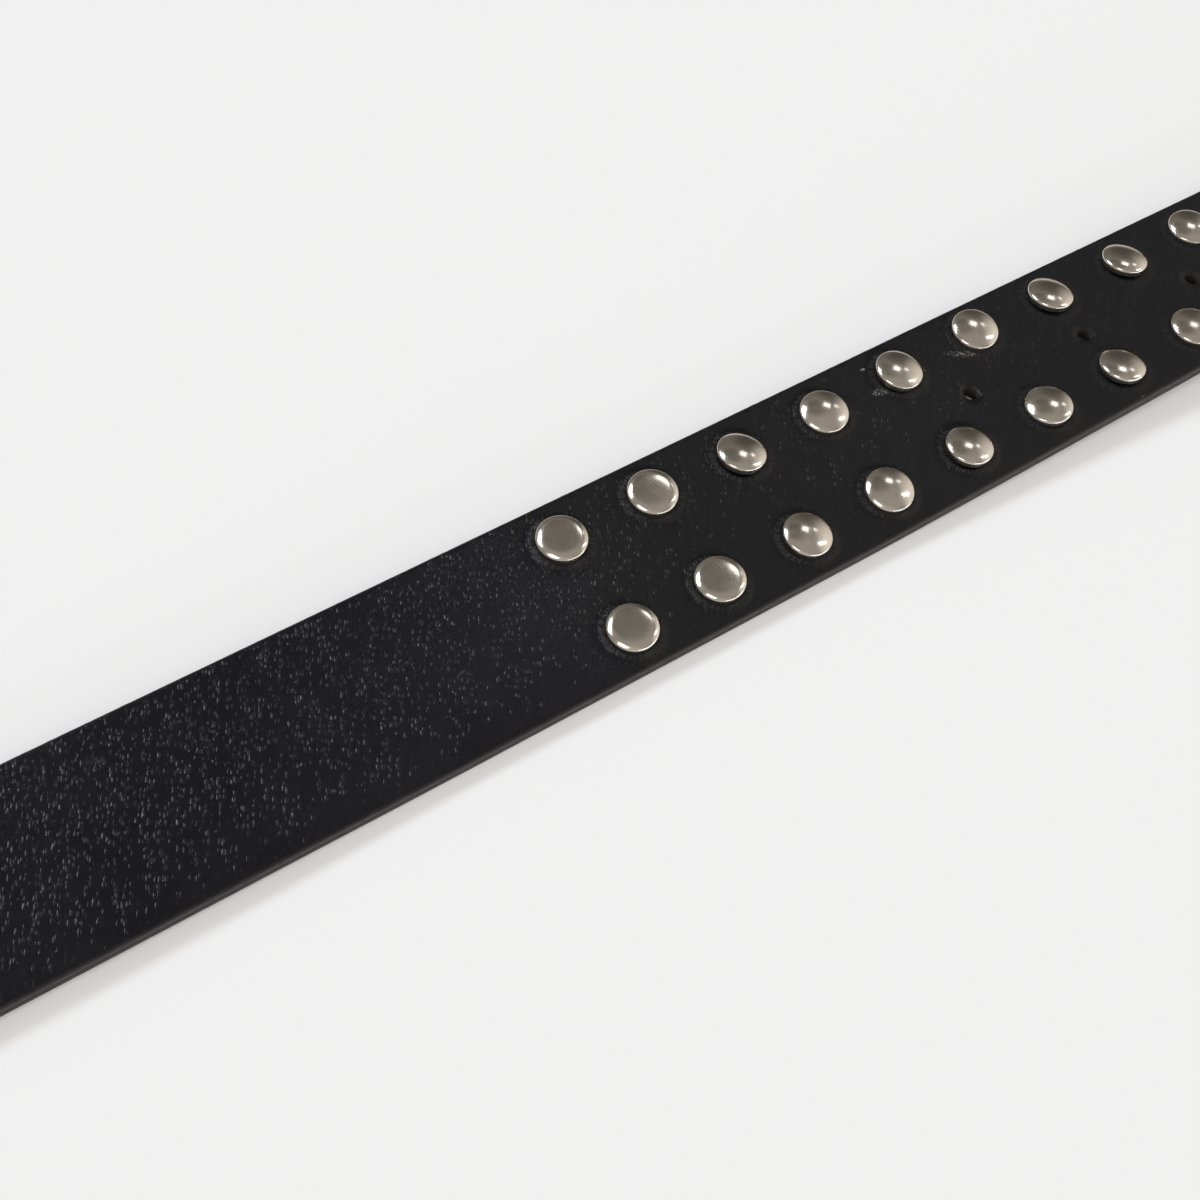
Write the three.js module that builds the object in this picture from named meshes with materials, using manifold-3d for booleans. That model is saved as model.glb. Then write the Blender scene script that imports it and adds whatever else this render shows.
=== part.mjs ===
// A black leather belt with two rows of low dome studs, lying straight on a flat surface.
// Millimetres, +Z up. X runs along the strap from the buckle to the tip, Y across it.
// The origin lies on that surface, under the middle of the belt.

import * as THREE from "three";
import { mergeVertices } from "three/addons/utils/BufferGeometryUtils.js";
import Module from "manifold-3d";

const wasm = await Module();
wasm.setup();

// Strap
const STRAP_WIDTH = 30;
const STRAP_THICKNESS = 2.5;
const STRAP_CHAMFER = 0.5;
const BAR_TO_MIDDLE_HOLE = 850;
const LAST_HOLE_TO_TIP = 100;
const TIP_ROUNDING = 17;
const TIP_FLAT = 6;

// Prong holes, on the strap's centre line
const HOLE_DIAMETER = 3.2;
const HOLE_PITCH = 25;
const HOLE_COUNT = 5;

// Studs
const STUD_DIAMETER = 7.7;
const STUD_HEIGHT = 1.9;
const STUD_RIM_HEIGHT = 0.5;
const STUD_RIM_TUCK = 0.35;
const STUD_PITCH = 16.4;
const STUD_EDGE_DISTANCE = 6.45;
const STUD_LEAD_TO_FIRST_HOLE = 73.2;
const STUD_TIP_MARGIN = 21;
const STUD_POST_DIAMETER = 2.4;
const POST_RECESS = 0.15;

// Buckle: a frame, its bar and its prong in one piece
const BAR_DIAMETER = 3.5;
const BAR_TO_FRONT = 25;
const FRAME_FRONT = 5.5;
const FRAME_SIDE = 4.5;
const FRAME_THICKNESS = 3.6;
const FRAME_CORNER = 7;
const FRAME_CHAMFER = 0.8;
const PRONG_THICKNESS = 2.2;
const PRONG_TIP_THICKNESS = 1.1;
const PRONG_OVERHANG = 1.4;

// Folded end, its rivets and the keeper that is held between the two layers
const SLOT_LENGTH = 9;
const SLOT_TO_RIVET = 7;
const RIVET_LAND = 8;
const RAMP_LENGTH = 7;
const LAND_MARGIN = 0.8;
const RETURN_PAST_RIVET = 10;
const DROP_LENGTH = 14;
const RIVET_HEAD_DIAMETER = 7;
const RIVET_HEAD_HEIGHT = 1.4;
const RIVET_RIM_HEIGHT = 0.5;
const RIVET_POST_DIAMETER = 2.8;
const KEEPER_LENGTH = 10;
const KEEPER_WALL = 1.5;
const KEEPER_CORNER = 0.5;

// Clearances
const SEAT_GAP = 0.25;
const LAYER_GAP = 0.3;
const POST_CLEARANCE = 0.25;
const SLOT_CLEARANCE = 0.5;
const FRAME_PLAY = 1;
const PRONG_PLAY = 0.4;
const PRONG_SEAT = 0.2;

// The dome of a stud and of a rivet, from the rim to the crown.
// "out" is a share of its radius, "up" is a share of its height above the rim.
const STUD_DOME_ROWS = [
  { out: 1, up: 0 },
  { out: 0.88, up: 0.55 },
  { out: 0.5, up: 0.9 },
  { out: 0, up: 1 },
];
const RIVET_DOME_ROWS = [
  { out: 1, up: 0 },
  { out: 0.7, up: 0.7 },
  { out: 0, up: 1 },
];

// The prong's arm, from its collar to its tip, on the front of the frame.
// "out" is a share of the frame's reach, "up" is a share of the prong's thickness.
const PRONG_ROWS = [
  { out: 0.75, up: 1 },
  { out: 0.96, up: 0.8 },
];

// Facets
const STUD_SIDES = 16;
const HOLE_SIDES = 12;
const POST_HOLE_SIDES = 10;
const CORNER_FACETS = 3;
const FOLD_STEPS = 8;
const RAMP_STEP = 2;
const TWIST_STEP = 9;
const TIP_STEPS = 7;

// The strap doesn't lie quite flat: its near edge lifts a little where it twists.
// "at" is a share of the way from the bar to the tip, "twist" is in degrees.
const TWIST_ROWS = [
  { at: 0.520, twist: 0 },
  { at: 0.590, twist: -2.5 },
  { at: 0.630, twist: -1.8 },
  { at: 0.669, twist: -0.8 },
  { at: 0.698, twist: 0 },
  { at: 0.765, twist: 0 },
  { at: 0.785, twist: -1.0 },
  { at: 0.824, twist: -4.1 },
  { at: 0.862, twist: -7.5 },
  { at: 0.890, twist: -8.5 },
  { at: 0.930, twist: -4.5 },
  { at: 0.970, twist: 0 },
];

// The studs were set by hand. Those that strayed, as shares of the pitch along and across.
const STRAY_STUDS = [
  { row: "far", column: 0, along: -0.01, across: -0.02 },
  { row: "far", column: 2, along: 0, across: -0.034 },
  { row: "far", column: 3, along: 0, across: -0.029 },
  { row: "far", column: 4, along: -0.03, across: 0.013 },
  { row: "far", column: 5, along: -0.009, across: 0.047 },
  { row: "far", column: 6, along: 0, across: 0.023 },
  { row: "far", column: 7, along: 0.028, across: 0 },
  { row: "near", column: 0, along: 0.022, across: -0.024 },
  { row: "near", column: 3, along: 0, across: 0.018 },
  { row: "near", column: 4, along: 0, across: 0.021 },
  { row: "near", column: 5, along: 0.014, across: 0 },
];

const barRadius = BAR_DIAMETER / 2;
const foldRadius = barRadius + LAYER_GAP + STRAP_THICKNESS / 2;
const barHeight = foldRadius + STRAP_THICKNESS / 2;
const rivetPlace = SLOT_LENGTH + SLOT_TO_RIVET;
const keeperStart = rivetPlace + RIVET_LAND / 2 + RAMP_LENGTH;
const keeperEnd = keeperStart + KEEPER_LENGTH;
const secondRivetPlace = keeperEnd + RAMP_LENGTH + RIVET_LAND / 2;
const returnLength = secondRivetPlace + RETURN_PAST_RIVET;
const firstHole = BAR_TO_MIDDLE_HOLE - HOLE_PITCH * (HOLE_COUNT - 1) / 2;
const lastHole = firstHole + HOLE_PITCH * (HOLE_COUNT - 1);
const tipPlace = lastHole + LAST_HOLE_TO_TIP;
const firstColumn = firstHole - STUD_LEAD_TO_FIRST_HOLE;
const columnCount = 1 + Math.floor((tipPlace - STUD_TIP_MARGIN - firstColumn) / STUD_PITCH);
const rowOffset = STRAP_WIDTH / 2 - STUD_EDGE_DISTANCE;
const frameInnerHalf = STRAP_WIDTH / 2 + FRAME_PLAY;
const frameOuterHalf = frameInnerHalf + FRAME_SIDE;
const frameReach = BAR_TO_FRONT + FRAME_FRONT;
const prongWidth = HOLE_DIAMETER - PRONG_PLAY;

// Heights of the middle of the strap's thickness, above the surface that it lies on
const heightOnFloor = STRAP_THICKNESS / 2;
const heightOnReturn = STRAP_THICKNESS + LAYER_GAP + STRAP_THICKNESS / 2;
const heightOnKeeper = heightOnReturn + KEEPER_WALL + LAYER_GAP;

// What the outer layer passes over near the buckle. "at" is the distance from the bar.
const stackRows = [
  { at: 0, height: barHeight + foldRadius },
  { at: rivetPlace - RIVET_LAND / 2, height: heightOnReturn },
  { at: rivetPlace + RIVET_LAND / 2, height: heightOnReturn },
  { at: keeperStart - LAND_MARGIN, height: heightOnKeeper },
  { at: keeperEnd + LAND_MARGIN, height: heightOnKeeper },
  { at: secondRivetPlace - RIVET_LAND / 2, height: heightOnReturn },
  { at: returnLength + LAND_MARGIN, height: heightOnReturn },
  { at: returnLength + DROP_LENGTH, height: heightOnFloor },
];

const twistRows = TWIST_ROWS.map((row) => ({
  at: row.at * tipPlace,
  twist: THREE.MathUtils.degToRad(row.twist),
}));

function slopeAt(rows, column, index) {
  if (index === 0 || index === rows.length - 1) {
    return 0;
  }
  const [before, here, after] = rows.slice(index - 1, index + 2);
  const slopeIn = (here[column] - before[column]) / (here.at - before.at);
  const slopeOut = (after[column] - here[column]) / (after.at - here.at);
  return slopeIn * slopeOut <= 0 ? 0 : 2 * slopeIn * slopeOut / (slopeIn + slopeOut);
}

// A smooth curve through a table's rows that never swings past them
function readTable(rows, column, at) {
  const clamped = THREE.MathUtils.clamp(at, rows[0].at, rows[rows.length - 1].at);
  const index = Math.max(1, rows.findIndex((row) => row.at >= clamped));
  const [low, high] = [rows[index - 1], rows[index]];
  const span = high.at - low.at;
  const t = (clamped - low.at) / span;
  const blend = t * t * (3 - 2 * t);
  return low[column] * (1 - blend) + high[column] * blend
    + slopeAt(rows, column, index - 1) * span * t * (1 - t) * (1 - t)
    - slopeAt(rows, column, index) * span * t * t * (1 - t);
}

function twistAt(x) {
  return readTable(twistRows, "twist", x);
}

// A twisted strap stands on its lower edge
function heightAt(x) {
  if (x < stackRows[stackRows.length - 1].at) {
    return readTable(stackRows, "height", x);
  }
  const twist = Math.abs(twistAt(x));
  return STRAP_THICKNESS / 2 * Math.cos(twist) + STRAP_WIDTH / 2 * Math.sin(twist);
}

function leanAt(x) {
  const near = STRAP_THICKNESS / 20;
  return x <= 0 ? 0 : Math.atan2(heightAt(x + near) - heightAt(x - near), 2 * near);
}

// Place and turn of the strap's cross-section: X along the strap, Z out of its face
function sectionFrame(x, height, lean, twist) {
  return new THREE.Matrix4().makeTranslation(x, 0, height)
    .multiply(new THREE.Matrix4().makeRotationY(-lean))
    .multiply(new THREE.Matrix4().makeRotationX(twist));
}

function strapFrame(x) {
  return sectionFrame(x, heightAt(x), leanAt(x), twistAt(x));
}

function frameAcross(x, y) {
  return strapFrame(x).multiply(new THREE.Matrix4().makeTranslation(0, y, 0));
}

function halfWidthAt(x) {
  const along = Math.max(0, (x - (tipPlace - TIP_ROUNDING)) / TIP_ROUNDING);
  const round = Math.sqrt(Math.max(0, 1 - along * along));
  return TIP_FLAT / 2 + (STRAP_WIDTH / 2 - TIP_FLAT / 2) * round;
}

function stepsFrom(start, end, count) {
  return Array.from({ length: count }, (_, i) => start + (end - start) * i / count);
}

function stepsThrough(rows, column, longest) {
  return rows.slice(1).flatMap((row, i) => {
    const level = row[column] === rows[i][column];
    const count = level ? 1 : Math.ceil((row.at - rows[i].at) / longest);
    return stepsFrom(rows[i].at, row.at, count);
  });
}

function strapSections() {
  const fold = stepsFrom(Math.PI, 0, FOLD_STEPS).map((lean) => ({
    frame: sectionFrame(
      -foldRadius * Math.sin(lean), barHeight + foldRadius * Math.cos(lean), lean, 0),
    half: STRAP_WIDTH / 2,
  }));
  const returnEnd = {
    frame: sectionFrame(returnLength, heightOnFloor, Math.PI, 0),
    half: STRAP_WIDTH / 2,
  };
  const tipStart = tipPlace - TIP_ROUNDING;
  const tip = Array.from({ length: TIP_STEPS + 1 }, (_, i) =>
    tipStart + TIP_ROUNDING * Math.sin(Math.PI / 2 * i / TIP_STEPS));
  const along = [
    ...stepsThrough(stackRows, "height", RAMP_STEP),
    stackRows[stackRows.length - 1].at,
    ...stepsThrough(twistRows, "twist", TWIST_STEP),
    twistRows[twistRows.length - 1].at,
    ...tip,
  ];
  const run = along.map((x) => ({ frame: strapFrame(x), half: halfWidthAt(x) }));
  return [returnEnd, ...fold, ...run];
}

function chamferedOutline(halfWidth, halfHeight, chamfer) {
  return new THREE.Shape([
    new THREE.Vector2(-halfWidth + chamfer, -halfHeight),
    new THREE.Vector2(halfWidth - chamfer, -halfHeight),
    new THREE.Vector2(halfWidth, -halfHeight + chamfer),
    new THREE.Vector2(halfWidth, halfHeight - chamfer),
    new THREE.Vector2(halfWidth - chamfer, halfHeight),
    new THREE.Vector2(-halfWidth + chamfer, halfHeight),
    new THREE.Vector2(-halfWidth, halfHeight - chamfer),
    new THREE.Vector2(-halfWidth, -halfHeight + chamfer),
  ]);
}

function solidOf(geometry) {
  const bare = geometry.clone();
  bare.deleteAttribute("normal");
  bare.deleteAttribute("uv");
  const merged = mergeVertices(bare, 1e-4);
  return new wasm.Manifold(new wasm.Mesh({
    numProp: 3,
    vertProperties: new Float32Array(merged.attributes.position.array),
    triVerts: new Uint32Array(merged.index.array),
  }));
}

function geometryOf(solid) {
  const mesh = solid.getMesh();
  const geometry = new THREE.BufferGeometry();
  geometry.setAttribute("position", new THREE.BufferAttribute(mesh.vertProperties, 3));
  geometry.setIndex(new THREE.BufferAttribute(mesh.triVerts, 1));
  geometry.computeVertexNormals();
  return geometry;
}

// An upright cylinder whose flats, not its corners, lie at the radius
function holeCutter(radius, sides, frame) {
  const cornerRadius = radius / Math.cos(Math.PI / sides);
  const length = 4 * STRAP_THICKNESS;
  const cutter = new THREE.CylinderGeometry(cornerRadius, cornerRadius, length, sides);
  return solidOf(cutter.rotateX(Math.PI / 2).applyMatrix4(frame));
}

// The slot for the prong, through both layers of the fold
function slotCutter() {
  const half = prongWidth / 2 + SLOT_CLEARANCE;
  const start = -2 * foldRadius;
  const outline = new THREE.Shape();
  outline.moveTo(start, -half);
  outline.lineTo(SLOT_LENGTH - half, -half);
  outline.absarc(SLOT_LENGTH - half, 0, half, -Math.PI / 2, Math.PI / 2, false);
  outline.lineTo(start, half);
  outline.closePath();
  const tall = 4 * barHeight;
  const cutter = new THREE.ExtrudeGeometry(
    outline, { depth: tall, bevelEnabled: false, curveSegments: 2 * CORNER_FACETS });
  return solidOf(cutter.translate(0, 0, -tall / 2));
}

function strayOf(row, column) {
  const found = STRAY_STUDS.find((stray) => stray.row === row && stray.column === column);
  return found ?? { along: 0, across: 0 };
}

function studPlaces() {
  return ["near", "far"].flatMap((row) =>
    Array.from({ length: columnCount }, (_, column) => {
      const stray = strayOf(row, column);
      const side = row === "near" ? -1 : 1;
      const x = firstColumn + STUD_PITCH * (column + stray.along);
      const y = side * rowOffset + STUD_PITCH * stray.across;
      const number = String(column + 1).padStart(2, "0");
      return { name: `stud_${row}_${number}`, frame: frameAcross(x, y) };
    }));
}

function rivetPlaces() {
  return [rivetPlace, secondRivetPlace].map((x, i) => ({
    name: `rivet_${i + 1}`,
    frame: frameAcross(x, 0),
  }));
}

function strapGeometry() {
  const sections = strapSections();
  const outline = chamferedOutline(STRAP_WIDTH / 2, STRAP_THICKNESS / 2, STRAP_CHAMFER);
  const steps = sections.length - 1;
  const blank = new THREE.ExtrudeGeometry(
    outline, { depth: steps, steps, bevelEnabled: false });
  const position = blank.attributes.position;
  const point = new THREE.Vector3();
  for (let i = 0; i < position.count; i += 1) {
    const section = sections[Math.round(position.getZ(i))];
    const narrowing = section.half / (STRAP_WIDTH / 2);
    point.set(0, position.getX(i) * narrowing, position.getY(i));
    point.applyMatrix4(section.frame);
    position.setXYZ(i, point.x, point.y, point.z);
  }
  let solid = solidOf(blank).subtract(slotCutter());
  for (let i = 0; i < HOLE_COUNT; i += 1) {
    const frame = frameAcross(firstHole + HOLE_PITCH * i, 0);
    solid = solid.subtract(holeCutter(HOLE_DIAMETER / 2, HOLE_SIDES, frame));
  }
  const studHole = STUD_POST_DIAMETER / 2 + POST_CLEARANCE;
  for (const place of studPlaces()) {
    solid = solid.subtract(holeCutter(studHole, POST_HOLE_SIDES, place.frame));
  }
  const rivetHole = RIVET_POST_DIAMETER / 2 + POST_CLEARANCE;
  for (const place of rivetPlaces()) {
    solid = solid.subtract(holeCutter(rivetHole, POST_HOLE_SIDES, place.frame));
  }
  return geometryOf(solid);
}

function turned(profile, sides) {
  const points = profile.map(([radius, height]) => new THREE.Vector2(radius, height));
  return new THREE.LatheGeometry(points, sides).rotateX(Math.PI / 2);
}

function domeProfile(rows, radius, rim, height) {
  return rows.map((row) => [radius * row.out, rim + (height - rim) * row.up]);
}

// A domed cap with a rolled rim, and the post that holds it in the leather
function studGeometry() {
  const radius = STUD_DIAMETER / 2;
  const post = STUD_POST_DIAMETER / 2;
  const foot = -STRAP_THICKNESS / 2 + POST_RECESS;
  const seat = STRAP_THICKNESS / 2 + SEAT_GAP;
  return turned([
    [0, foot],
    [post, foot],
    [post, seat],
    [radius - STUD_RIM_TUCK, seat],
    ...domeProfile(STUD_DOME_ROWS, radius, seat + STUD_RIM_HEIGHT, seat + STUD_HEIGHT),
  ], STUD_SIDES);
}

function rivetGeometry() {
  const radius = RIVET_HEAD_DIAMETER / 2;
  const post = RIVET_POST_DIAMETER / 2;
  const foot = POST_RECESS - heightOnReturn;
  const seat = STRAP_THICKNESS / 2 + SEAT_GAP;
  return turned([
    [0, foot],
    [post, foot],
    [post, seat],
    [radius, seat],
    ...domeProfile(
      RIVET_DOME_ROWS, radius, seat + RIVET_RIM_HEIGHT, seat + RIVET_HEAD_HEIGHT),
  ], STUD_SIDES);
}

// A rectangle with rounded corners, about a middle point
function roundedOutline(Outline, halfWidth, halfHeight, radius, middle) {
  const outline = new Outline();
  const quarter = Math.PI / 2;
  const x = halfWidth - radius;
  const y = halfHeight - radius;
  outline.absarc(x, middle + y, radius, 0, quarter, false);
  outline.absarc(-x, middle + y, radius, quarter, 2 * quarter, false);
  outline.absarc(-x, middle - y, radius, 2 * quarter, 3 * quarter, false);
  outline.absarc(x, middle - y, radius, 3 * quarter, 4 * quarter, false);
  outline.closePath();
  return outline;
}

// A loop round the outer layer, with room for the tip. Its lower side lies between the layers.
function keeperGeometry() {
  const halfWidth = STRAP_WIDTH / 2 + LAYER_GAP;
  const room = 2 * STRAP_THICKNESS + 3 * LAYER_GAP;
  const middle = STRAP_THICKNESS + LAYER_GAP + KEEPER_WALL + room / 2;
  const outline = roundedOutline(THREE.Shape, halfWidth + KEEPER_WALL,
    room / 2 + KEEPER_WALL, KEEPER_CORNER + KEEPER_WALL, middle);
  outline.holes.push(
    roundedOutline(THREE.Path, halfWidth, room / 2, KEEPER_CORNER, middle));
  const loop = new THREE.ExtrudeGeometry(
    outline, { depth: KEEPER_LENGTH, bevelEnabled: false, curveSegments: CORNER_FACETS });
  const alongStrap = new THREE.Matrix4().makeBasis(
    new THREE.Vector3(0, 1, 0), new THREE.Vector3(0, 0, 1), new THREE.Vector3(1, 0, 0));
  return loop.applyMatrix4(alongStrap).translate(keeperStart, 0, 0);
}

// The buckle's three sides, open at the bar, with its front towards -X
function frameSidesOutline() {
  const armEnd = barRadius + FRAME_CHAMFER;
  const innerCorner = FRAME_CORNER - FRAME_SIDE;
  const quarter = Math.PI / 2;
  const outline = new THREE.Shape();
  outline.moveTo(armEnd, frameOuterHalf);
  outline.lineTo(-frameReach + FRAME_CORNER, frameOuterHalf);
  outline.absarc(-frameReach + FRAME_CORNER, frameOuterHalf - FRAME_CORNER,
    FRAME_CORNER, quarter, 2 * quarter, false);
  outline.absarc(-frameReach + FRAME_CORNER, FRAME_CORNER - frameOuterHalf,
    FRAME_CORNER, 2 * quarter, 3 * quarter, false);
  outline.lineTo(armEnd, -frameOuterHalf);
  outline.lineTo(armEnd, -frameInnerHalf);
  outline.absarc(-BAR_TO_FRONT + innerCorner, innerCorner - frameInnerHalf,
    innerCorner, 3 * quarter, 2 * quarter, true);
  outline.absarc(-BAR_TO_FRONT + innerCorner, frameInnerHalf - innerCorner,
    innerCorner, 2 * quarter, quarter, true);
  outline.lineTo(armEnd, frameInnerHalf);
  outline.closePath();
  return outline;
}

function frameSides() {
  const sides = new THREE.ExtrudeGeometry(frameSidesOutline(), {
    depth: FRAME_THICKNESS - 2 * FRAME_CHAMFER,
    bevelThickness: FRAME_CHAMFER,
    bevelSize: FRAME_CHAMFER,
    bevelOffset: -FRAME_CHAMFER,
    bevelSegments: 1,
    curveSegments: CORNER_FACETS,
  });
  return solidOf(sides.translate(0, 0, FRAME_CHAMFER - FRAME_THICKNESS / 2));
}

function frameBar() {
  const length = 2 * frameInnerHalf + FRAME_SIDE;
  return solidOf(new THREE.CylinderGeometry(barRadius, barRadius, length, STUD_SIDES));
}

// The prong's collar sits round the bar, and its arm lies on the front of the frame
function prong() {
  const collarRadius = barRadius + PRONG_THICKNESS;
  const collar = new THREE.CylinderGeometry(
    collarRadius, collarRadius, prongWidth, STUD_SIDES);
  const seat = FRAME_THICKNESS / 2 - PRONG_SEAT;
  const tip = -frameReach - PRONG_OVERHANG;
  const side = new THREE.Shape();
  side.moveTo(0, collarRadius);
  for (const row of PRONG_ROWS) {
    side.lineTo(-frameReach * row.out, seat + PRONG_THICKNESS * row.up);
  }
  side.lineTo(tip, seat - PRONG_SEAT + PRONG_TIP_THICKNESS);
  side.lineTo(tip, seat - PRONG_SEAT);
  side.lineTo(-frameReach + FRAME_CHAMFER, seat);
  side.lineTo(0, barRadius);
  side.closePath();
  const arm = new THREE.ExtrudeGeometry(side, { depth: prongWidth, bevelEnabled: false });
  arm.translate(0, 0, -prongWidth / 2).rotateX(Math.PI / 2);
  return solidOf(collar).add(solidOf(arm));
}

// The frame's front rests on the surface, so the buckle leans down from its bar
function buckleGeometry() {
  const lean = Math.asin((barHeight - FRAME_THICKNESS / 2) / frameReach);
  const geometry = geometryOf(frameSides().add(frameBar()).add(prong()));
  return geometry.rotateY(-lean).translate(0, 0, barHeight);
}

function leather() {
  return new THREE.MeshStandardMaterial({ color: 0x1c1c1e, roughness: 0.5, metalness: 0 });
}

function nickel() {
  return new THREE.MeshStandardMaterial({ color: 0xa8a29a, roughness: 0.2, metalness: 1 });
}

function piece(name, geometry, material) {
  const mesh = new THREE.Mesh(geometry, material);
  mesh.name = name;
  return mesh;
}

function placed(mesh, frame) {
  mesh.applyMatrix4(frame);
  return mesh;
}

const belt = new THREE.Group();
belt.add(piece("strap", strapGeometry(), leather()));
belt.add(piece("keeper", keeperGeometry(), leather()));
belt.add(piece("buckle", buckleGeometry(), nickel()));
for (const place of rivetPlaces()) {
  belt.add(placed(piece(place.name, rivetGeometry(), nickel()), place.frame));
}
for (const place of studPlaces()) {
  belt.add(placed(piece(place.name, studGeometry(), nickel()), place.frame));
}

// The belt reaches from the prong's tip to the strap's tip
const frontReach = new THREE.Box3().setFromObject(belt).min.x;
belt.position.x = -(frontReach + tipPlace) / 2;

export default belt;
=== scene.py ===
"""A black leather belt with two rows of polished nickel studs, on a pale surface.

Lengths in this file are millimetres. Each piece is brought to metres as it is finished.
"""
import math

import bmesh
import bpy
from mathutils import Matrix, Vector, noise


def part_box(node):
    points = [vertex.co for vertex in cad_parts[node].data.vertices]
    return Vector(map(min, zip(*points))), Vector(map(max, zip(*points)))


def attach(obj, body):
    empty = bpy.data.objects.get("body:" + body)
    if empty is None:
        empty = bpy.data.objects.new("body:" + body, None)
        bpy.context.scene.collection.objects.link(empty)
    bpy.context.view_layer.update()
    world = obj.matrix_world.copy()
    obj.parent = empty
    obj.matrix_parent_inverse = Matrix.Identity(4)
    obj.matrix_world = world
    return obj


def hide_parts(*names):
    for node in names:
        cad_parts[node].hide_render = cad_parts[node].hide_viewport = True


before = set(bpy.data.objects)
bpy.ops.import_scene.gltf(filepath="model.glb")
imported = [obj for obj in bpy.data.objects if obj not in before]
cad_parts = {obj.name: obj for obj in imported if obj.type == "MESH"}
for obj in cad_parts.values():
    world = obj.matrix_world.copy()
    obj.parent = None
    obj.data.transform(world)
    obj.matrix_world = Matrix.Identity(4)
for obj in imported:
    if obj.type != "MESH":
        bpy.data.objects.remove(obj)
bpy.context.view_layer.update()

METRES = 0.001

# The strap
WIDTH = 30.0
THICKNESS = 2.5
TIP_AT = 1000.0
TIP_ROUNDING = 17.0
TIP_FLAT = 6.0
BAR_RADIUS = 1.75
FOLD_RADIUS = 3.3
BAR_HEIGHT = 4.55
RETURN_END = 58.0
BAR_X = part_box("strap")[1].x / METRES - TIP_AT

# Heights of the middle of the strap's thickness, by distance from the bar
STACK_ROWS = [(0.0, 7.85), (12.0, 4.05), (20.0, 4.05), (26.2, 5.85),
              (37.8, 5.85), (44.0, 4.05), (58.8, 4.05), (72.0, 1.25)]

# How far the strap leans to one side, in degrees, by distance from the bar
TWIST_ROWS = [(520.0, 0.0), (590.0, -2.5), (630.0, -1.8), (669.0, -0.8), (698.0, 0.0),
              (765.0, 0.0), (785.0, -1.0), (824.0, -4.1), (862.0, -7.5), (890.0, -8.5),
              (930.0, -4.5), (970.0, 0.0)]

# Prong holes and the slot in the fold
HOLES_AT = [800.0, 825.0, 850.0, 875.0, 900.0]
HOLE_RADIUS = 1.6
HOLE_DRAWN_IN = 0.35
SLOT_HALF = 1.9
SLOT_END = 9.0

# Studs
STUD_COLUMNS = 16
FIRST_COLUMN = 726.8
STUD_PITCH = 16.4
STUD_ROW = 8.55
STUD_RADIUS = 3.85
POST_WELL = 1.45
STRAYS = {("far", 0): (-0.01, -0.02), ("far", 2): (0.0, -0.034), ("far", 3): (0.0, -0.029),
          ("far", 4): (-0.03, 0.013), ("far", 5): (-0.009, 0.047), ("far", 6): (0.0, 0.023),
          ("far", 7): (0.028, 0.0), ("near", 0): (0.022, -0.024), ("near", 3): (0.0, 0.018),
          ("near", 4): (0.0, 0.021), ("near", 5): (0.014, 0.0)}
RIVETS_AT = [16.0, 48.0]


def reached(value, start, over):
    """How far a value has come from a start over a stretch, from none to one."""
    return min(max((value - start) / over, 0.0), 1.0)


def slope_at(rows, i):
    """The slope of read_rows' curve at one of its rows."""
    if i in (0, len(rows) - 1):
        return 0.0
    before, here, after = rows[i - 1:i + 2]
    slope_in = (here[1] - before[1]) / (here[0] - before[0])
    slope_out = (after[1] - here[1]) / (after[0] - here[0])
    if slope_in * slope_out <= 0:
        return 0.0
    return 2 * slope_in * slope_out / (slope_in + slope_out)


def read_rows(rows, at):
    """A smooth curve through a table's rows that never swings past them."""
    at = min(max(at, rows[0][0]), rows[-1][0])
    i = next(k for k in range(1, len(rows)) if rows[k][0] >= at)
    (low_at, low), (high_at, high) = rows[i - 1], rows[i]
    span = high_at - low_at
    t = (at - low_at) / span
    blend = t * t * (3 - 2 * t)
    return (low * (1 - blend) + high * blend
            + slope_at(rows, i - 1) * span * t * (1 - t) * (1 - t)
            - slope_at(rows, i) * span * t * t * (1 - t))


def twist_at(x):
    """How far the strap leans to one side there."""
    return math.radians(read_rows(TWIST_ROWS, x))


def height_at(x):
    """The height of the middle of the strap above the surface that it lies on."""
    if x < STACK_ROWS[-1][0]:
        return read_rows(STACK_ROWS, x)
    twist = abs(twist_at(x))
    return THICKNESS / 2 * math.cos(twist) + WIDTH / 2 * math.sin(twist)


def section(run):
    """The strap's cross-section at a place along it. Below zero, the place is in the fold
    round the bar, and after that in the layer that returns under the strap."""
    fold = math.pi * FOLD_RADIUS
    if run >= 0:
        lean = 0.0
        if run > 0:
            lean = math.atan2(height_at(run + 0.125) - height_at(run - 0.125), 0.25)
        place, twist = (run, height_at(run)), twist_at(run)
    elif run >= -fold:
        lean, twist = -run / FOLD_RADIUS, 0.0
        place = (-FOLD_RADIUS * math.sin(lean), BAR_HEIGHT + FOLD_RADIUS * math.cos(lean))
    else:
        lean, twist = math.pi, 0.0
        place = (-run - fold, THICKNESS / 2)
    return (Matrix.Translation((BAR_X + place[0], 0, place[1]))
            @ Matrix.Rotation(-lean, 4, "Y") @ Matrix.Rotation(twist, 4, "X"))


def half_width(run):
    """Half of the strap's width, which narrows round the tip."""
    along = max(0.0, (run - (TIP_AT - TIP_ROUNDING)) / TIP_ROUNDING)
    round_share = math.sqrt(max(0.0, 1 - along * along))
    return TIP_FLAT / 2 + (WIDTH / 2 - TIP_FLAT / 2) * round_share


def stud_places():
    """Each stud's name, its distance from the bar and how far across the strap it sits."""
    places = []
    for row, side in (("near", -1), ("far", 1)):
        for column in range(STUD_COLUMNS):
            along, across = STRAYS.get((row, column), (0.0, 0.0))
            places.append((f"{row}_{column + 1:02d}",
                           FIRST_COLUMN + STUD_PITCH * (column + along),
                           side * STUD_ROW + STUD_PITCH * across))
    return places


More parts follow.
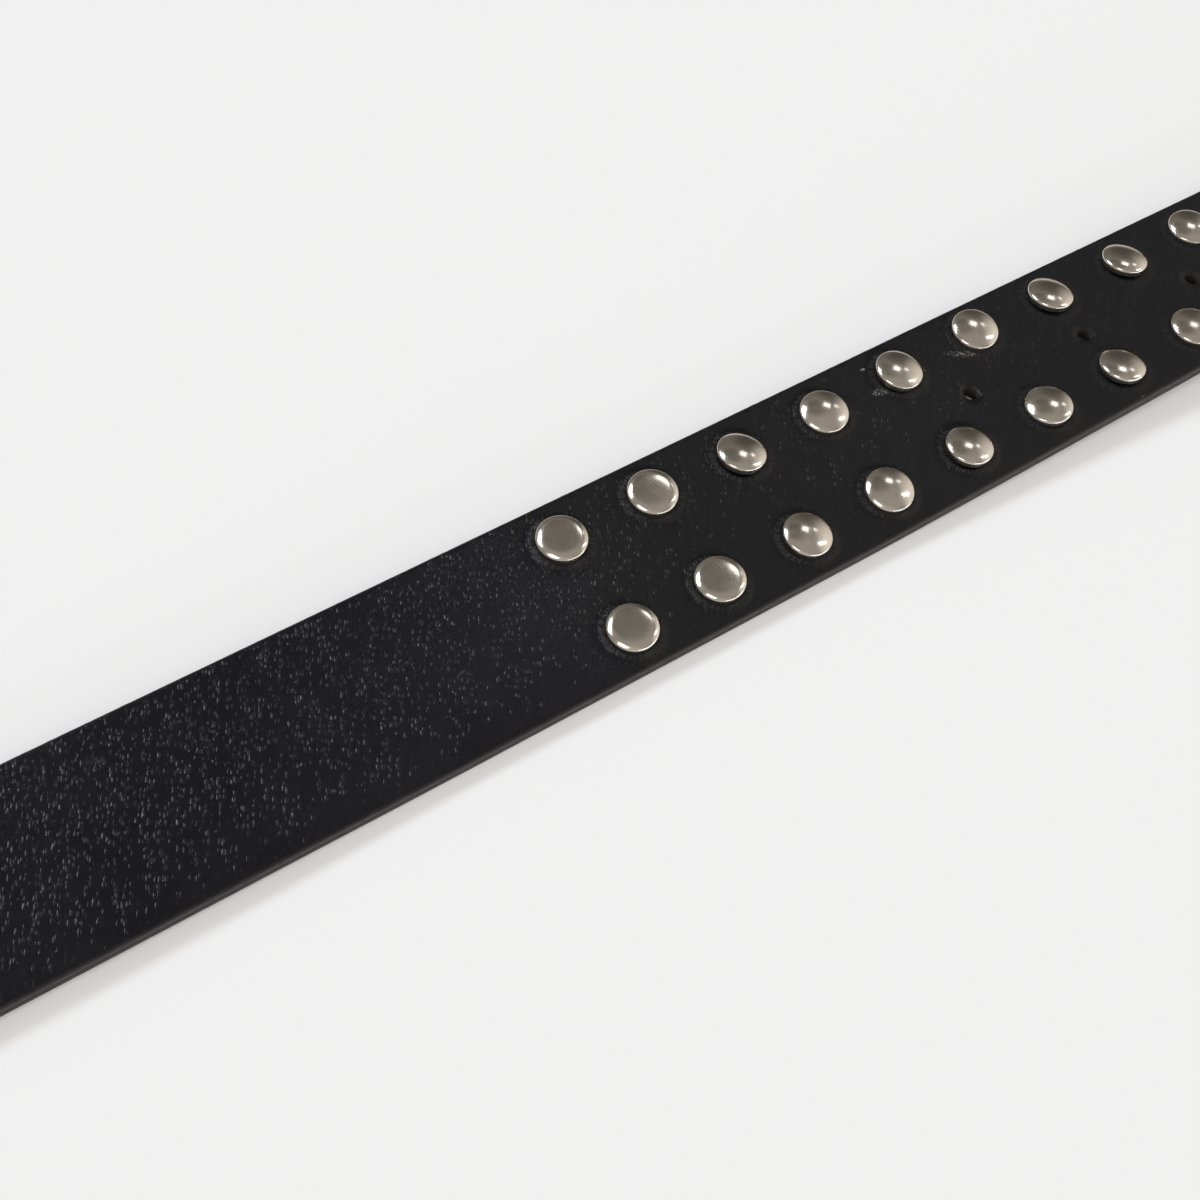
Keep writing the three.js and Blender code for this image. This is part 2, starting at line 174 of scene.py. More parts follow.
def finish_piece(mesh, name, nodes, finishes):
    """Makes an object of a bmesh in millimetres, and hides the CAD nodes that it stands for."""
    bmesh.ops.scale(mesh, vec=(METRES,) * 3, verts=mesh.verts)
    data = bpy.data.meshes.new(name)
    mesh.to_mesh(data)
    mesh.free()
    for finish in finishes:
        data.materials.append(finish)
    for face in data.polygons:
        face.use_smooth = True
    piece = bpy.data.objects.new(name, data)
    bpy.context.collection.objects.link(piece)
    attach(piece, "root")
    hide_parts(*nodes)
    return piece


class Finish:
    """A material whose nodes are added one after another."""

    def __init__(self, name):
        self.material = bpy.data.materials.new(name)
        self.material.use_nodes = True
        self.tree = self.material.node_tree
        self.shader = self.tree.nodes["Principled BSDF"]

    def add(self, kind, settings=(), **inputs):
        node = self.tree.nodes.new(kind)
        for key, value in dict(settings).items():
            setattr(node, key, value)
        for key, value in inputs.items():
            index = int(key[1:]) if key[0] == "i" and key[1:].isdigit() else key
            if not isinstance(index, int):
                index = key.replace("_", " ")
            self.put(node.inputs[index], value)
        return node

    def put(self, socket, value):
        if isinstance(value, bpy.types.NodeSocket):
            self.tree.links.new(value, socket)
        else:
            socket.default_value = value

    def sum(self, kind, *values, clamp=False):
        settings = {"operation": kind, "use_clamp": clamp}
        inputs = {f"i{k}": value for k, value in enumerate(values)}
        return self.add("ShaderNodeMath", settings, **inputs).outputs[0]

    def ramp(self, value, low, high, out_low=0.0, out_high=1.0):
        node = self.add("ShaderNodeMapRange", {"interpolation_type": "SMOOTHSTEP"},
                        Value=value, From_Min=low, From_Max=high, To_Min=out_low,
                        To_Max=out_high)
        return node.outputs["Result"]

    def grain(self, place, scale, detail=2.0, roughness=0.5, distortion=0.0):
        node = self.add("ShaderNodeTexNoise", Vector=place, Scale=scale, Detail=detail,
                        Roughness=roughness, Distortion=distortion)
        return node.outputs["Fac"]

    def along(self, place, angle, longer):
        """A place turned so that its first axis lies along a grain, and drawn out there."""
        node = self.add("ShaderNodeMapping", {"vector_type": "TEXTURE"}, Vector=place,
                        Rotation=(0, 0, angle), Scale=(longer, 1, 1))
        return node.outputs[0]

    def patches(self, rows):
        """One inside each of some soft oval patches, given in millimetres, and none outside."""
        place, total = self.object_place(), 0.0
        for x, y, length, width, lean in rows:
            node = self.add("ShaderNodeMapping", {"vector_type": "TEXTURE"}, Vector=place,
                            Location=(x * METRES, y * METRES, 0),
                            Rotation=(0, 0, math.radians(lean)),
                            Scale=(length * METRES, width * METRES, 1))
            out = self.add("ShaderNodeVectorMath", {"operation": "LENGTH"}, i0=node.outputs[0])
            inside = self.ramp(out.outputs["Value"], 0.4, 1.0, 1.0, 0.0)
            total = self.sum("MAXIMUM", total, inside)
        return total

    def tones(self, share, dark, light):
        node = self.add("ShaderNodeMix", {"data_type": "RGBA"}, Factor=share)
        node.inputs[6].default_value = (*dark, 1)
        node.inputs[7].default_value = (*light, 1)
        return node.outputs[2]

    def relief(self, height, depth, strength=1.0, under=None):
        node = self.add("ShaderNodeBump", Strength=strength, Distance=depth * METRES,
                        Height=height)
        if under is not None:
            self.tree.links.new(under, node.inputs["Normal"])
        return node.outputs[0]

    def run_and_width(self):
        return self.add("ShaderNodeUVMap", {"uv_map": "run"}).outputs[0]

    def object_place(self):
        return self.add("ShaderNodeTexCoord").outputs["Object"]

    def attribute(self, name, output="Fac"):
        return self.add("ShaderNodeAttribute", {"attribute_name": name}).outputs[output]


# The grain: which way it runs, and the width of its pebbles by how many go to a metre
GRAIN_LEAN = math.radians(59)
PEBBLES_TO_METRE = 2150.0
PEBBLE_LONGER = 2.7
PEBBLE_HEIGHT = 0.17
PORE_DEPTH = 0.020
PLEAT_DEPTH = 0.38
PLEAT_REACH = 1.8
# The stretch of holes is handled most, and its gloss is worn: distances from the bar
HANDLED_FROM, HANDLED_FULL = 790.0, 830.0
# Where the face is scuffed: centre, half length and half width in millimetres, and lean
SCUFFS = [(302.9, 7.3, 1.7, 0.8, -20), (303.4, 12.2, 0.7, 0.5, 0), (319.8, 7.0, 3.4, 0.7, -32),
          (311.2, 7.6, 1.6, 0.4, -15), (340.3, -14.6, 1.0, 0.5, 0), (327.0, -6.3, 1.2, 0.3, 30)]


def black_leather_face():
    """The strap's dyed face: glossy pebbles in strings and loose bands, plainer among the
    studs and coloured darker there as painted shade, with pleats round each stud and a few
    scuffs."""
    f = Finish("black_leather_face")
    run = f.run_and_width()
    wander = f.add("ShaderNodeTexNoise", Vector=run, Scale=260.0, Detail=2.0)
    shifted = f.add("ShaderNodeVectorMath", {"operation": "MULTIPLY_ADD"},
                    i0=wander.outputs["Color"], i1=(0.0006, 0.0006, 0.0), i2=run)
    grain = f.along(shifted.outputs[0], GRAIN_LEAN, PEBBLE_LONGER)
    pebbles = f.add("ShaderNodeTexVoronoi", {"feature": "F1"}, Vector=grain,
                    Scale=PEBBLES_TO_METRE, Randomness=0.85)
    out = f.sum("DIVIDE", pebbles.outputs["Distance"], 0.47)
    bead = f.sum("SUBTRACT", 1.0, f.sum("MULTIPLY", out, out), clamp=True)
    lot = f.add("ShaderNodeSeparateColor", Color=pebbles.outputs["Color"]).outputs[0]
    proud = f.ramp(lot, 0.15, 0.85, 0.35, 1.1)
    bands = f.ramp(f.grain(f.along(run, GRAIN_LEAN, 3.5), 330.0, 2.0), 0.40, 0.60, 0.50, 1.1)
    strings = f.ramp(f.grain(f.along(run, GRAIN_LEAN, 10.0), 1500.0, 1.0), 0.40, 0.60,
                     0.15, 1.6)
    loose = f.sum("MULTIPLY", f.sum("MULTIPLY", bands, strings), f.attribute("grain"))
    height = f.sum("MULTIPLY", f.sum("MULTIPLY", bead, proud), loose)
    pore = f.grain(run, 5200.0, 3.0, 0.6)
    offset = f.attribute("from_stud", "Vector")
    distance = f.add("ShaderNodeVectorMath", {"operation": "LENGTH"}, i0=offset)
    heading = f.add("ShaderNodeVectorMath", {"operation": "NORMALIZE"}, i0=offset)
    pleat = f.grain(heading.outputs[0], 10.0, 3.0, 0.65)
    pulled = f.ramp(distance.outputs["Value"], STUD_RADIUS, STUD_RADIUS + PLEAT_REACH, 1.0, 0.0)
    pleat = f.sum("MULTIPLY", pleat, pulled)
    normal = f.relief(pore, PORE_DEPTH)
    normal = f.relief(height, PEBBLE_HEIGHT, under=normal)
    normal = f.relief(pleat, PLEAT_DEPTH, under=normal)
    tone = f.ramp(f.grain(run, 90.0, 3.0), 0.3, 0.7)
    dyed = f.tones(tone, (0.0052, 0.0048, 0.0080), (0.0076, 0.0071, 0.0112))
    # Painted shade: the face is coloured darker among the studs, where it shows less light.
    painted_shade_among_studs = f.add("ShaderNodeMix", {"data_type": "RGBA"}, Factor=f.attribute("studded"))
    f.put(painted_shade_among_studs.inputs[6], dyed)
    painted_shade_among_studs.inputs[7].default_value = (0.0018, 0.0016, 0.0032, 1)
    flakes = f.ramp(f.grain(run, 2600.0, 4.0, 0.7), 0.50, 0.60)
    scuffed = f.sum("MULTIPLY", f.patches(SCUFFS), flakes)
    bare = f.add("ShaderNodeMix", {"data_type": "RGBA"}, Factor=scuffed)
    f.put(bare.inputs[6], painted_shade_among_studs.outputs[2])
    bare.inputs[7].default_value = (0.34, 0.33, 0.32, 1)
    f.put(f.shader.inputs["Base Color"], bare.outputs[2])
    rough = f.sum("ADD", f.ramp(f.grain(run, 400.0, 3.0), 0.3, 0.7, 0.20, 0.25),
                  f.ramp(f.attribute("studded"), 0.0, 1.0, 0.0, 0.12))
    from_bar = f.add("ShaderNodeSeparateXYZ", Vector=run).outputs[0]
    handled = f.ramp(from_bar, HANDLED_FROM * METRES, HANDLED_FULL * METRES)
    rough = f.sum("ADD", rough, f.sum("MULTIPLY", handled, 0.20))
    f.put(f.shader.inputs["Roughness"], rough)
    f.put(f.shader.inputs["Specular IOR Level"], 0.37)
    f.put(f.shader.inputs["Normal"], normal)
    return f.material


def painted_edge():
    """Edge paint over the cut leather: satin, a little uneven, with one fine lighter line along
    its groove, a painted highlight.
    """
    f = Finish("painted_edge")
    run = f.run_and_width()
    waves = f.grain(f.along(run, 0.0, 2.9), 1400.0, 3.0)
    # Painted highlight: a fine lighter line is coloured along the groove in the edge.
    line = f.attribute("groove_highlight")
    tone = f.sum("ADD", f.sum("MULTIPLY", line, 0.6), f.ramp(waves, 0.4, 0.8, 0.0, 0.4),
                 clamp=True)
    f.put(f.shader.inputs["Base Color"],
          f.tones(tone, (0.0070, 0.0062, 0.0060), (0.022, 0.020, 0.021)))
    f.put(f.shader.inputs["Roughness"], f.ramp(waves, 0.3, 0.7, 0.40, 0.55))
    f.put(f.shader.inputs["Specular IOR Level"], 0.40)
    f.put(f.shader.inputs["Normal"], f.relief(waves, 0.05))
    return f.material


def flesh_side():
    """The back of the leather: dyed dark, with a short matted nap."""
    f = Finish("flesh_side")
    run = f.run_and_width()
    nap = f.grain(f.along(run, 0.4, 2.0), 1500.0, 5.0, 0.7, 0.4)
    cloud = f.grain(run, 120.0, 3.0)
    tone = f.sum("ADD", f.sum("MULTIPLY", nap, 0.5), f.sum("MULTIPLY", cloud, 0.5))
    f.put(f.shader.inputs["Base Color"],
          f.tones(f.ramp(tone, 0.35, 0.65), (0.012, 0.011, 0.010), (0.030, 0.027, 0.024)))
    f.put(f.shader.inputs["Roughness"], 0.82)
    f.put(f.shader.inputs["Sheen Weight"], 0.15)
    f.put(f.shader.inputs["Normal"], f.relief(nap, 0.12))
    return f.material


def polished_nickel(name, brush_lean):
    """Pale warm plating, polished, with fine marks from the buffing wheel."""
    f = Finish(name)
    place = f.object_place()
    brush = f.grain(f.along(place, brush_lean, 14.0), 9000.0, 3.0, 0.6)
    smear = f.grain(place, 420.0, 3.0)
    tone = f.ramp(smear, 0.3, 0.7)
    f.put(f.shader.inputs["Base Color"],
          f.tones(tone, (0.73, 0.682, 0.620), (0.79, 0.738, 0.675)))
    f.put(f.shader.inputs["Metallic"], 1.0)
    f.put(f.shader.inputs["Specular Tint"], (0.35, 0.33, 0.30, 1))
    rough = f.sum("ADD", f.ramp(brush, 0.35, 0.75, 0.12, 0.16),
                  f.ramp(smear, 0.4, 0.7, 0.0, 0.03))
    f.put(f.shader.inputs["Roughness"], rough)
    f.put(f.shader.inputs["Normal"], f.relief(brush, 0.0007))
    return f.material


# How far out the flat of the face goes
TOP_HALF = 14.62
# The edge, from the face down to the back: distance in from the side, and height
EDGE_PROFILE = [(0.20, 1.215), (0.07, 1.12), (0.01, 0.96), (0.0, 0.70), (0.0, 0.32),
                (0.06, 0.20), (0.0, 0.08), (0.0, -0.60), (0.02, -0.95), (0.14, -1.17)]


# Where the leather among the studs begins, and over what length it changes
STUDDED_FROM, STUDDED_OVER = 714.0, 30.0
# Where the grain stands up fully, and over what length it comes up
PROUD_FROM, PROUD_OVER = 385.0, 90.0
# The leather round a stud: where its pull fades, how high it is lifted, how soon that falls
PULL_FROM, PULL_OVER = 5.8, 0.8
MOUND_RISE, MOUND_FALL = 0.28, 0.60
# The lip that the punch leaves round a hole: its height, and how narrow it is
LIP_RISE, LIP_WIDTH = 0.04, 0.4


def spread(start, end, step):
    """Even steps from a start up to an end, without the end."""
    count = max(1, round((end - start) / step))
    return [start + (end - start) * k / count for k in range(count)]


def strap_stations():
    """Distances from the bar at which the strap has a ring of points, close where it bends
    or is cut. The returned layer has distances below zero."""
    fold = math.pi * FOLD_RADIUS
    end = [-fold - RETURN_END + d for d in (0.0, 0.03, 0.1, 0.22, 0.4)]
    stations = end + spread(end[-1] + 1.5, -fold - 10, 2.0)
    stations += spread(-fold - 10, -fold, 0.5) + spread(-fold, 0.0, 0.65)
    stations += spread(0.0, 10.0, 0.5) + spread(10.0, 72.0, 1.3)
    stations += spread(72.0, 612.0, 3.4) + spread(612.0, TIP_AT - TIP_ROUNDING, 0.66)
    turn = [TIP_AT - TIP_ROUNDING + TIP_ROUNDING * math.sin(math.pi / 2 * k / 24)
            for k in range(24)]
    last = [TIP_AT - d for d in (0.22, 0.1, 0.03, 0.0)]
    return stations + [at for at in turn if at < last[0] - 0.02] + last


def strap_outline():
    """Points round the strap's cross-section, from the near lower corner over the face."""
    near = [(-WIDTH / 2 + inward, height) for inward, height in reversed(EDGE_PROFILE)]
    face = [(y, THICKNESS / 2) for y in spread(-TOP_HALF, TOP_HALF, 0.68)]
    face.append((TOP_HALF, THICKNESS / 2))
    far = [(WIDTH / 2 - inward, height) for inward, height in EDGE_PROFILE]
    across = [14.6, 12.4, 11.0, 10.0, 9.55, 9.05, 8.55, 8.05, 7.55, 7.1, 5.6, 4.0, 2.7,
              SLOT_HALF, 1.2, 0.6, 0.0]
    across += [-y for y in reversed(across[:-1])]
    back = [(y, -THICKNESS / 2) for y in across]
    return near + face + far + back + near[:1], len(near), len(near) + len(face)


def rim_of(place, start, end, radius):
    """The nearest point on the outline of a slot with round ends."""
    along = min(max(place.x, start + radius), end - radius) if end - start > 2 * radius else (
        (start + end) / 2)
    centre = Vector((along, 0, 0))
    out = Vector((place.x - along, place.y, 0))
    if out.length < 1e-6:
        out = Vector((0, 1, 0))
    return centre + out.normalized() * radius


def open_hole(mesh, centre, radius, start=None, end=None, sides=(1, -1), drawn_in=0.0):
    """Cuts a hole or slot in the flat strap, and lines it where it goes right through. Its
    rim on the face may be drawn in a little."""
    start = centre[0] - radius if start is None else start
    end = centre[0] + radius if end is None else end
    middle = centre[1]
    rims = []
    for side in sides:
        level = side * THICKNESS / 2
        inside = []
        for face in mesh.faces:
            at = face.calc_center_median()
            if abs(at.z - level) > 0.01 or not start - 1 < at.x < end + 1:
                continue
            flat = Vector((at.x, at.y - middle, 0))
            near = min(max(flat.x, start + radius), max(start + radius, end - radius))
            if (flat - Vector((near, 0, 0))).length < radius:
                inside.append(face)
        ring = [edge for face in inside for edge in face.edges
                if sum(other in inside for other in edge.link_faces) == 1]
        bmesh.ops.delete(mesh, geom=inside, context="FACES")
        ring = [edge for edge in ring if edge.is_valid]
        for vert in {v for edge in ring for v in edge.verts}:
            flat = Vector((vert.co.x, vert.co.y - middle, 0))
            inner = drawn_in if side > 0 else 0.0
            on_rim = rim_of(flat, start + inner, end - inner, radius - inner)
            vert.co.x, vert.co.y = on_rim.x, on_rim.y + middle
        rims.append(ring)
    if len(rims) == 2:
        bmesh.ops.bridge_loops(mesh, edges=rims[0] + rims[1])
    return rims


def strap_mesh(studs):
    """The strap laid out flat: rolled from one grid into a closed tube, then cut."""
    stations = strap_stations()
    outline, face_from, face_to = strap_outline()
    mesh = bmesh.new()
    run_map = mesh.loops.layers.uv.new("run")
    bmesh.ops.create_grid(mesh, x_segments=len(stations) - 1, y_segments=len(outline) - 1,
                          size=1)
    around = [0.0]
    for before, after in zip(outline, outline[1:]):
        around.append(around[-1] + math.dist(before, after))
    last = len(stations) - 1, len(outline) - 1

    def step(vert):
        return (round((vert.co.x + 1) / 2 * last[0]), round((vert.co.y + 1) / 2 * last[1]))

    for face in mesh.faces:
        steps = [step(vert) for vert in face.verts]
        row = min(j for _, j in steps)
        face.material_index = 1
        if face_from <= row < face_to - 1:
            face.material_index = 0
        elif row >= face_to + len(EDGE_PROFILE):
            face.material_index = 2
        for loop, (i, j) in zip(face.loops, steps):
            loop[run_map].uv = (stations[i] * METRES, around[j] * METRES)
    for vert in mesh.verts:
        i, j = step(vert)
        vert.co = (stations[i], *outline[j])
    bmesh.ops.remove_doubles(mesh, verts=mesh.verts, dist=1e-4)
    for at in HOLES_AT:
        open_hole(mesh, (at, 0), HOLE_RADIUS, drawn_in=HOLE_DRAWN_IN)
    fold = math.pi * FOLD_RADIUS
    open_hole(mesh, (0, 0), SLOT_HALF, -fold - SLOT_END, SLOT_END)
    for _, at, across in studs:
        rim, = open_hole(mesh, (at, across), POST_WELL, sides=(-1,))
        wall = bmesh.ops.extrude_edge_only(mesh, edges=rim)["geom"]
        deep = [v for v in wall if isinstance(v, bmesh.types.BMVert)]
        bmesh.ops.translate(mesh, vec=(0, 0, 0.9), verts=deep)
        bmesh.ops.contextual_create(
            mesh, geom=[e for e in wall if isinstance(e, bmesh.types.BMEdge)
                        and all(v in deep for v in e.verts)])
    ends = [edge for edge in mesh.edges if edge.is_boundary]
    bmesh.ops.holes_fill(mesh, edges=ends, sides=0)
    return mesh


def shape_strap(mesh, studs):
    """Gives the flat strap its small unevenness, then lays it along its path."""
    grain = mesh.verts.layers.float.new("grain")
    line = mesh.verts.layers.float.new("groove_highlight")
    by_studs = mesh.verts.layers.float.new("studded")
    from_stud = mesh.verts.layers.float_vector.new("from_stud")
    fold = math.pi * FOLD_RADIUS
    for vert in mesh.verts:
        run, across, level = vert.co
        near_end = min(run + fold + RETURN_END, TIP_AT - run)
        thin = 1.0
        if near_end < 0.35:
            thin = 1 - 0.3 * (1 - math.sqrt(max(0.0, 1 - (1 - near_end / 0.35) ** 2)))
        on_face = level > THICKNESS / 2 - 0.01
        off = min((Vector((run - at, across - y, 0)) for _, at, y in studs),
                  key=lambda v: v.length)
        lost = reached(off.length, PULL_FROM, PULL_OVER)
        vert[from_stud] = off.lerp(Vector((0, 0, 20)), lost)
        studded = reached(run, STUDDED_FROM, STUDDED_OVER)
        edge_in = WIDTH / 2 - abs(across)
        calm = reached(edge_in, 0.4, 4.5 if across < 0 else 1.2)
        upper = reached(across, -15, 20)
        first = reached(run, PROUD_FROM, PROUD_OVER)
        vert[by_studs] = studded
        vert[grain] = ((0.20 + 0.80 * upper) * (0.35 + 0.65 * calm) * (1 - 0.62 * studded)
                       * (0.75 + 0.25 * first))
        # Marks the groove in the edge, which gets a painted highlight.
        vert[line] = 1.0 if 0.15 < level < 0.25 and edge_in < 0.1 else 0.0
        wobble = noise.noise(Vector((run * 0.9, across * 3, 7.0)))
        if on_face:
            level += 0.035 * noise.noise(Vector((run * 0.16, across * 0.22, 3.0)))
            hole_off = min(Vector((run - at, across)).length for at in HOLES_AT)
            level += LIP_RISE * math.exp(-(hole_off - HOLE_RADIUS) ** 2 / LIP_WIDTH)
            if off.length < 9:
                out = max(0.0, off.length - STUD_RADIUS)
                level += MOUND_RISE * math.exp(-out / MOUND_FALL)
        elif level > 0.9:
            across += math.copysign(0.03 * wobble, across)
            level += 0.05 * wobble
        share = half_width(run) / (WIDTH / 2)
        vert.co = section(run) @ Vector((0, across * share, level * thin))
    bmesh.ops.recalc_face_normals(mesh, faces=mesh.faces)


studs = stud_places()
strap = strap_mesh(studs)
shape_strap(strap, studs)
leather_face = black_leather_face()
edge_paint = painted_edge()
leather_back = flesh_side()
finish_piece(strap, "strap_leather", ["strap"], [leather_face, edge_paint, leather_back])


def spun(profile, steps):
    """A profile turned once round the upright axis."""
    mesh = bmesh.new()
    verts = [mesh.verts.new((radius, 0, height)) for radius, height in profile]
    edges = [mesh.edges.new(pair) for pair in zip(verts, verts[1:])]
    bmesh.ops.spin(mesh, geom=verts + edges, cent=(0, 0, 0), axis=(0, 0, 1),
                   angle=2 * math.pi, steps=steps, use_merge=True)
    bmesh.ops.remove_doubles(mesh, verts=mesh.verts, dist=1e-4)
    bmesh.ops.recalc_face_normals(mesh, faces=mesh.faces)
    return mesh


# How steep a pressed cap is, in degrees, from its crown out to its shoulder, by share of
# its radius: a domed cap and a flatter one
DOMED = [(0.0, 0.0), (0.2, 4.5), (0.4, 9.0), (0.6, 13.5), (0.75, 17.5), (0.92, 26.0)]
FLATTER = [(0.0, 0.0), (0.2, 1.0), (0.4, 2.0), (0.6, 4.5), (0.75, 9.0), (0.92, 27.0)]
SHOULDER_RADIUS = 0.48
SHOULDER_FROM = math.radians(27)


def cap_profile(radius, crown, foot, flatness):
    """A pressed cap from its crown over the shoulder to the rim rolled under, and its post."""
    rows = [(0.0, 0.0)]
    shoulder = radius - SHOULDER_RADIUS * (1 - math.sin(SHOULDER_FROM))
    steps = 11
    for k in range(steps):
        share = (k + 0.5) / steps * shoulder / radius
        steep = (1 - flatness) * read_rows(DOMED, share) + flatness * read_rows(FLATTER, share)
        out, down = rows[-1]
        run = shoulder / steps
        rows.append((out + run, down - run * math.tan(math.radians(steep))))
    out, down = rows[-1]
    for k in range(1, 8):
        turn = SHOULDER_FROM + (math.pi / 2 - SHOULDER_FROM) * k / 7
        rows.append((radius - SHOULDER_RADIUS * (1 - math.sin(turn)),
                     down - SHOULDER_RADIUS * (math.cos(SHOULDER_FROM) - math.cos(turn))))
    rows = [(out, crown + down) for out, down in rows]
    rolled = [(0.0, 0.24), (-0.03, 0.12), (-0.10, 0.03), (-0.22, -0.01), (-0.5, 0.0),
              (-1.2, 0.06)]
    rows += [(radius + inward, height) for inward, height in rolled]
    return rows + [(1.2, 0.15), (1.2, foot), (0.0, foot)]


# How far the caps that show lean, in degrees, along and across the strap
LEANS = {"far_01": (-5.5, 1.8), "far_02": (-3.5, -1.2), "far_03": (5.0, 6.5),
         "far_04": (-2.8, -1.2), "far_05": (4.6, 0.4), "far_06": (-0.5, -4.3),
         "far_07": (6.5, 6.5), "far_08": (6.5, 6.0), "near_01": (-5.5, 1.0),
         "near_02": (-4.5, 2.5), "near_03": (2.5, -0.4), "near_04": (-2.0, -3.0),
         "near_05": (4.0, 4.2), "near_06": (-3.5, 5.5), "near_07": (5.5, 7.0)}


nickel_finishes = [polished_nickel(f"polished_nickel_{k + 1}", lean)
                   for k, lean in enumerate((0.96, 1.10, 0.80, 1.25))]
SEAT = THICKNESS / 2 + 0.12
for number, (name, at, across) in enumerate(studs):
    chance = [noise.noise(Vector((number * 3.7, 1.3 + 5.1 * k, 0.4))) for k in range(3)]
    lean_along, lean_across = LEANS.get(name, (4 * chance[0], 4 * chance[1]))
    flatness = 1.0 if name[-2:] in ("01", "02") else 0.25 * abs(chance[2])
    cap = spun(cap_profile(STUD_RADIUS + 0.06, 1.95 - 0.14 * flatness,
                           0.15 - THICKNESS - 0.18, flatness), 64)
    lean = (Matrix.Rotation(math.radians(lean_along), 4, "Y")
            @ Matrix.Rotation(math.radians(-lean_across), 4, "X"))
    place = section(at) @ Matrix.Translation((0, across, SEAT)) @ lean
    bmesh.ops.transform(cap, matrix=place, verts=cap.verts)
    finish_piece(cap, f"cap_{name}", [f"stud_{name}"], [nickel_finishes[number % 4]])
for number, at in enumerate(RIVETS_AT):
    rivet = spun(cap_profile(3.5, 1.45, 0.15 - 4.05 - SEAT, 0.0), 48)
    place = section(at) @ Matrix.Translation((0, 0, SEAT))
    bmesh.ops.transform(rivet, matrix=place, verts=rivet.verts)
    finish_piece(rivet, f"rivet_cap_{number + 1}", [f"rivet_{number + 1}"],
                 [nickel_finishes[number]])


def plate(corners, rounding, depth, axis):
    """A flat plate cut to an outline whose corners are rounded one by one."""
    mesh = bmesh.new()
    mesh.faces.new([mesh.verts.new(corner) for corner in corners])
    for radius in sorted({r for r in rounding if r}):
        mesh.verts.ensure_lookup_table()
        chosen = [v for v in mesh.verts
                  if any(r == radius and (v.co - Vector(c)).length < 1e-6
                         for c, r in zip(corners, rounding))]
        bmesh.ops.bevel(mesh, geom=chosen, offset=radius, offset_type="OFFSET", segments=8,
                        profile=0.5, affect="VERTICES", material=-1)
    grown = bmesh.ops.extrude_face_region(mesh, geom=mesh.faces[:])["geom"]
    bmesh.ops.translate(mesh, vec=Vector(axis) * depth,
                        verts=[v for v in grown if isinstance(v, bmesh.types.BMVert)])
    bmesh.ops.recalc_face_normals(mesh, faces=mesh.faces)
    return mesh


def soften(mesh, offset, segments, chosen):
    """Rounds the chosen edges."""
    edges = [edge for edge in mesh.edges if chosen(edge)]
    bmesh.ops.bevel(mesh, geom=edges, offset=offset, segments=segments, profile=0.5,
                    affect="EDGES", clamp_overlap=True, material=-1)


def crease(edge):
    """Whether an edge is a sharp corner."""
    return edge.is_manifold and edge.calc_face_angle(0.0) > math.radians(50)


def joined(parts):
    """One mesh of several parts."""
    whole = bmesh.new()
    for part in parts:
        data = bpy.data.meshes.new("part")
        part.to_mesh(data)
        part.free()
        whole.from_mesh(data)
        bpy.data.meshes.remove(data)
    return whole


def buckle_mesh():
    """The frame, its bar, and the prong with the collar that goes round the bar."""
    front, reach, inner, outer, half = -30.5, -25.0, 16.0, 20.5, 1.8
    corners = [(2.3, outer, -half), (front, outer, -half), (front, -outer, -half),
               (2.3, -outer, -half), (2.3, -inner, -half), (reach, -inner, -half),
               (reach, inner, -half), (2.3, inner, -half)]
    sides = plate(corners, [1.2, 7.0, 7.0, 1.2, 0, 2.5, 2.5, 0], 2 * half, (0, 0, 1))
    soften(sides, 1.0, 4, crease)
    bar = bmesh.new()
    bmesh.ops.create_cone(bar, cap_ends=True, segments=32, radius1=BAR_RADIUS,
                          radius2=BAR_RADIUS, depth=36.5)
    bmesh.ops.rotate(bar, cent=(0, 0, 0), matrix=Matrix.Rotation(math.pi / 2, 3, "X"),
                     verts=bar.verts)
    collar = bmesh.new()
    bmesh.ops.create_cone(collar, cap_ends=True, segments=40, radius1=3.95, radius2=3.95,
                          depth=2.8)
    bmesh.ops.rotate(collar, cent=(0, 0, 0), matrix=Matrix.Rotation(math.pi / 2, 3, "X"),
                     verts=collar.verts)
    soften(collar, 0.55, 4, crease)
    side = [(0, -1.4, 3.9), (-22.9, -1.4, 3.8), (-29.3, -1.4, 3.35), (-31.2, -1.4, 2.75),
            (-31.9, -1.4, 2.2), (-31.9, -1.4, 1.45), (-29.7, -1.4, 1.6), (0, -1.4, 1.75)]
    arm = plate(side, [0] * len(side), 2.8, (0, 1, 0))
    soften(arm, 0.6, 4, crease)
    whole = joined([sides, bar, collar, arm])
    lean = math.asin((BAR_HEIGHT - half) / 30.5)
    place = Matrix.Translation((BAR_X, 0, BAR_HEIGHT)) @ Matrix.Rotation(-lean, 4, "Y")
    bmesh.ops.transform(whole, matrix=place, verts=whole.verts)
    return whole


def keeper_mesh():
    """A closed leather loop round the strap and the tip that goes through the buckle."""
    out, low, high, wall, start, length = 16.8, 2.8, 11.7, 1.5, 27.0, 10.0
    corners = [(0, -out, low), (0, out, low), (0, out, high), (0, -out, high)]
    loop = bmesh.new()
    ring = loop.faces.new([loop.verts.new(corner) for corner in corners])
    bmesh.ops.bevel(loop, geom=loop.verts[:], offset=2.0, segments=8, profile=0.5,
                    affect="VERTICES", material=-1)
    middle = loop.faces[:]
    bmesh.ops.inset_region(loop, faces=middle, thickness=wall, use_boundary=True,
                           use_even_offset=True)
    bmesh.ops.delete(loop, geom=middle, context="FACES")
    grown = bmesh.ops.extrude_face_region(loop, geom=loop.faces[:])["geom"]
    bmesh.ops.translate(loop, vec=(length, 0, 0),
                        verts=[v for v in grown if isinstance(v, bmesh.types.BMVert)])
    bmesh.ops.recalc_face_normals(loop, faces=loop.faces)
    soften(loop, 0.4, 3, crease)
    bmesh.ops.translate(loop, vec=(BAR_X + start, 0, 0), verts=loop.verts)
    return loop


